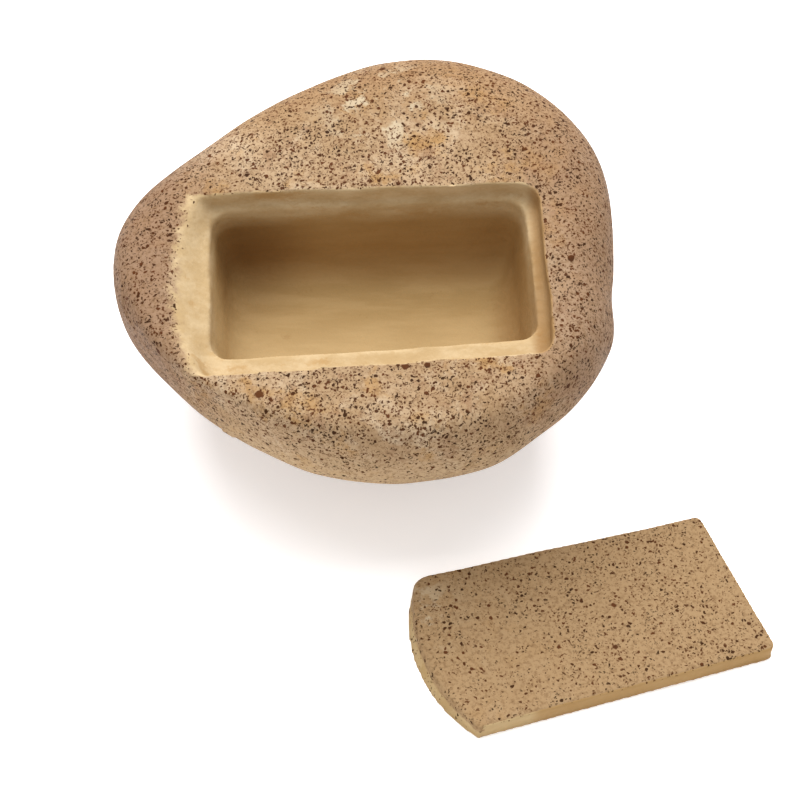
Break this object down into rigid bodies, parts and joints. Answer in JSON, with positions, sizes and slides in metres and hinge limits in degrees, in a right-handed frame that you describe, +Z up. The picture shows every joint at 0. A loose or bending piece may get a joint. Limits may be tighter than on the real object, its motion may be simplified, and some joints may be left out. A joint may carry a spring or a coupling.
{
  "type": "hide a key rock",
  "caption": "Hollow cast-resin garden stone with a rectangular compartment in its flat underside and a loose bevelled cover plate, shown open",
  "frame": {"origin": "centre of the bounding box of the stone and its cover, on the table that they lie on", "axes": "+Z up, +X to the stone's blunt end, -Y to the low side of the flat face, where the cover lies"},
  "size_m": [0.1512, 0.1576, 0.075],
  "materials": {
    "stone_resin": "hand-painted and speckled polyresin casting",
    "lid_resin": "hand-painted and speckled polyresin plate"
  },
  "bodies": {
    "stone": {"rock_body": "stone_resin"},
    "cover": {"lid": "lid_resin"}
  },
  "joints": [
    {"name": "lift_cover", "type": "slide", "parent": "stone", "child": "cover", "axis": [0, 0, 1], "range_m": [0, 0.09]}
  ]
}
